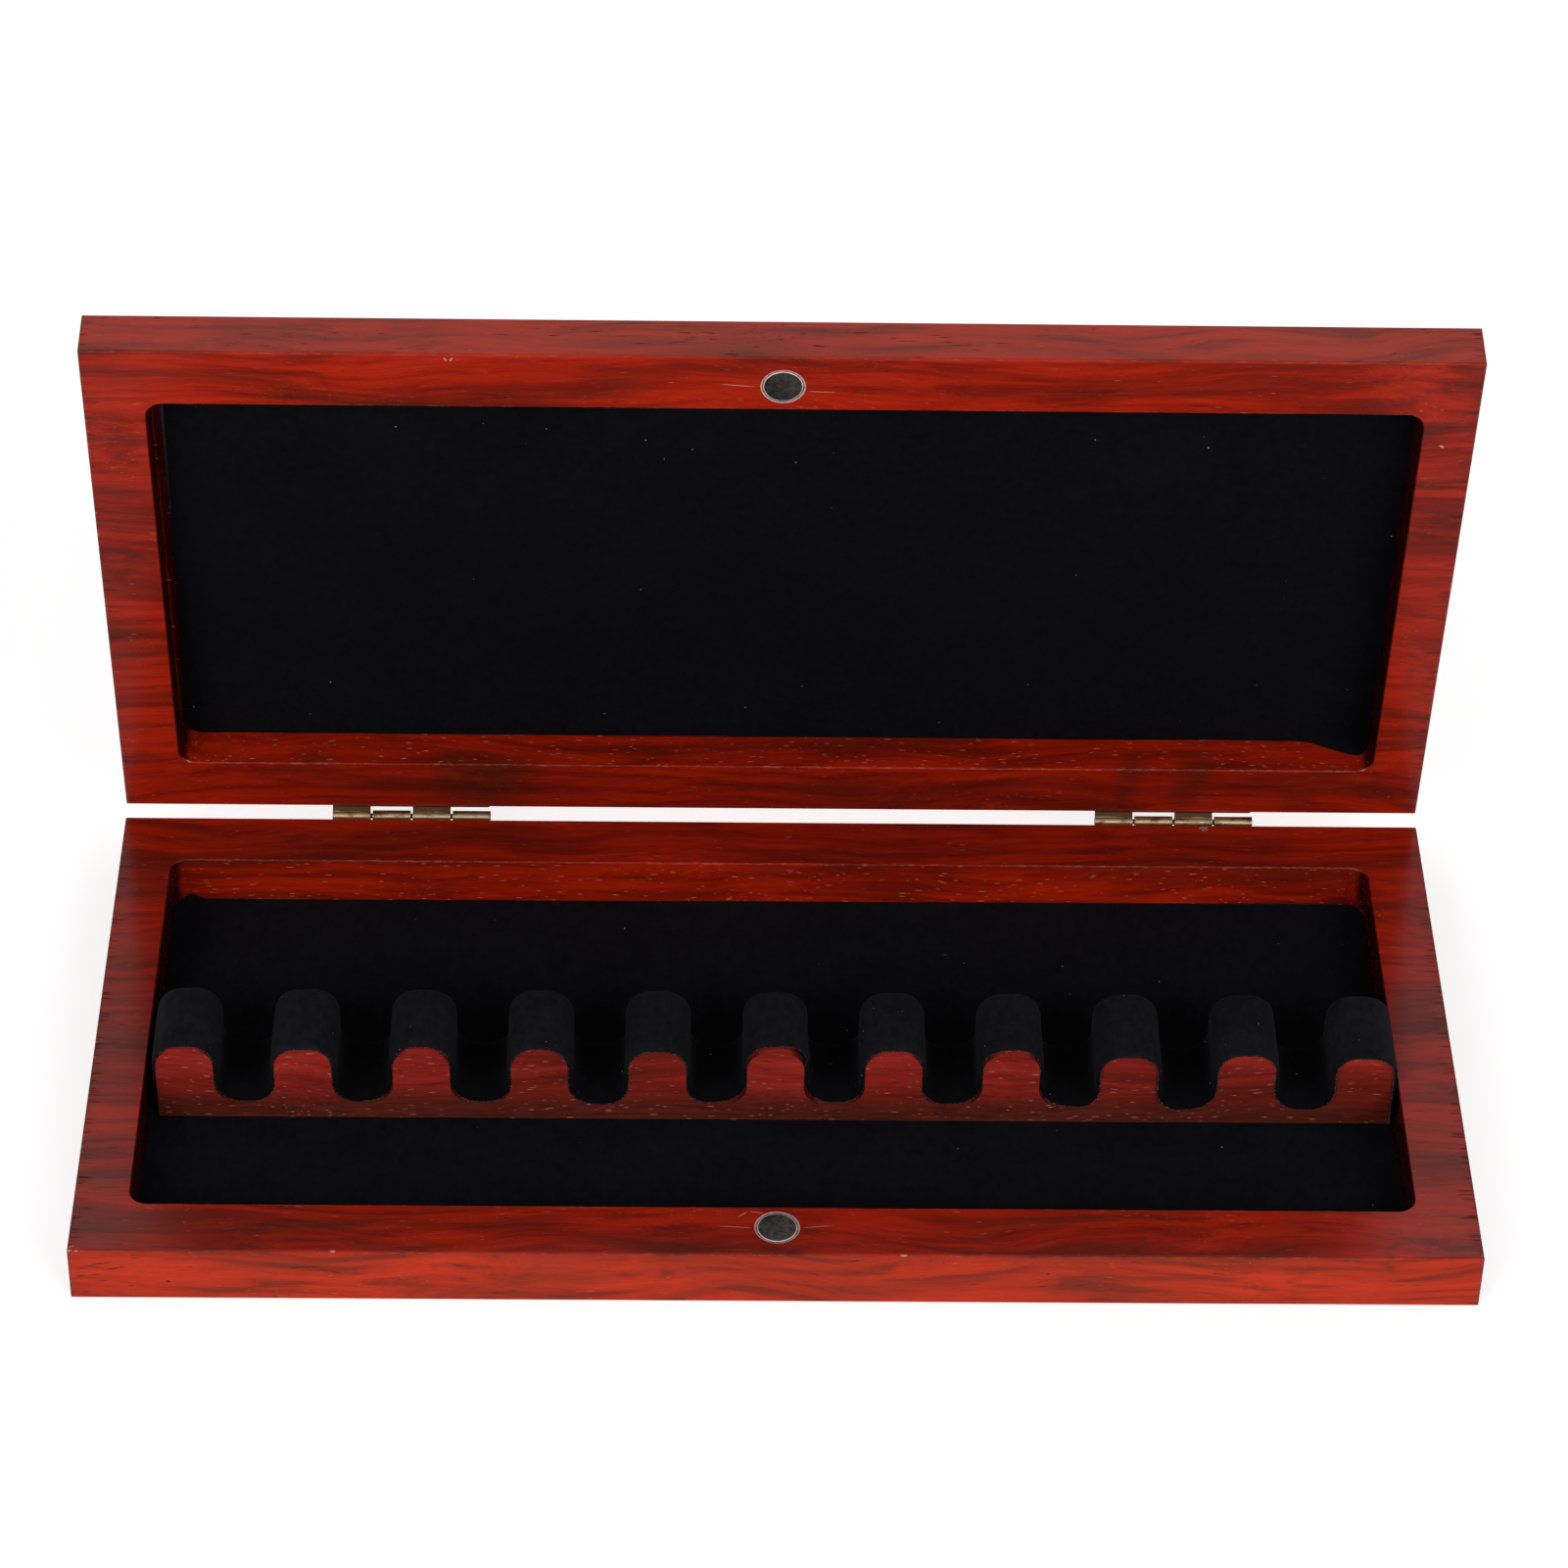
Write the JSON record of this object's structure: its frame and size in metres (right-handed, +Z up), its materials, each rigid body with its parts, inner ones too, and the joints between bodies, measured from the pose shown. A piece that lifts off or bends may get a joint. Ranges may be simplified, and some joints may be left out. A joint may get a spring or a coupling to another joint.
{
  "type": "fountain pen case",
  "caption": "Shallow hinged wooden case for fountain pens: velvet-lined trays, a velvet-covered comb rack with a groove for each pen, and magnets in the front rims.",
  "frame": {"origin": "centre of the flat underside of the base tray", "axes": "+X to the right along the case's length, +Y from the front edge to the hinges, +Z up"},
  "size_m": [0.38, 0.1991, 0.2006],
  "materials": {
    "rosewood": "open-pored red-brown hardwood, thin satin lacquer, worn arrises",
    "rack_wood": "the same wood, bare and planed",
    "lining_velvet": "black short-pile velvet",
    "rack_velvet": "black short-pile velvet with a cut edge",
    "lining_card": "charcoal backing card",
    "magnet_nickel": "nickel-plated magnet",
    "magnet_glue": "dried glue",
    "hinge_brass": "antique brass, satin",
    "hinge_pin_steel": "dark steel wire",
    "screw_brass": "brass"
  },
  "bodies": {
    "base": {"base_tray": "rosewood", "base_lining_card": "lining_card", "base_lining_velvet": "lining_velvet", "pen_rack": "rack_wood", "rack_velvet": "rack_velvet", "base_magnet_glue": "magnet_glue", "base_magnet": "magnet_nickel", "left_hinge_base_leaf": "hinge_brass", "left_hinge_base_screws": "screw_brass", "left_hinge_pin": "hinge_pin_steel", "right_hinge_base_leaf": "hinge_brass", "right_hinge_base_screws": "screw_brass", "right_hinge_pin": "hinge_pin_steel"},
    "lid": {"lid_tray": "rosewood", "lid_lining_card": "lining_card", "lid_lining_velvet": "lining_velvet", "lid_magnet_glue": "magnet_glue", "lid_magnet": "magnet_nickel", "left_hinge_lid_leaf": "hinge_brass", "left_hinge_lid_screws": "screw_brass", "right_hinge_lid_leaf": "hinge_brass", "right_hinge_lid_screws": "screw_brass"}
  },
  "joints": [
    {"name": "lid_hinge", "type": "hinge", "parent": "base", "child": "lid", "pos_m": [0, 0.0931, 0.0166], "axis": [-1, 0, 0], "range_deg": [-82, 98]}
  ]
}
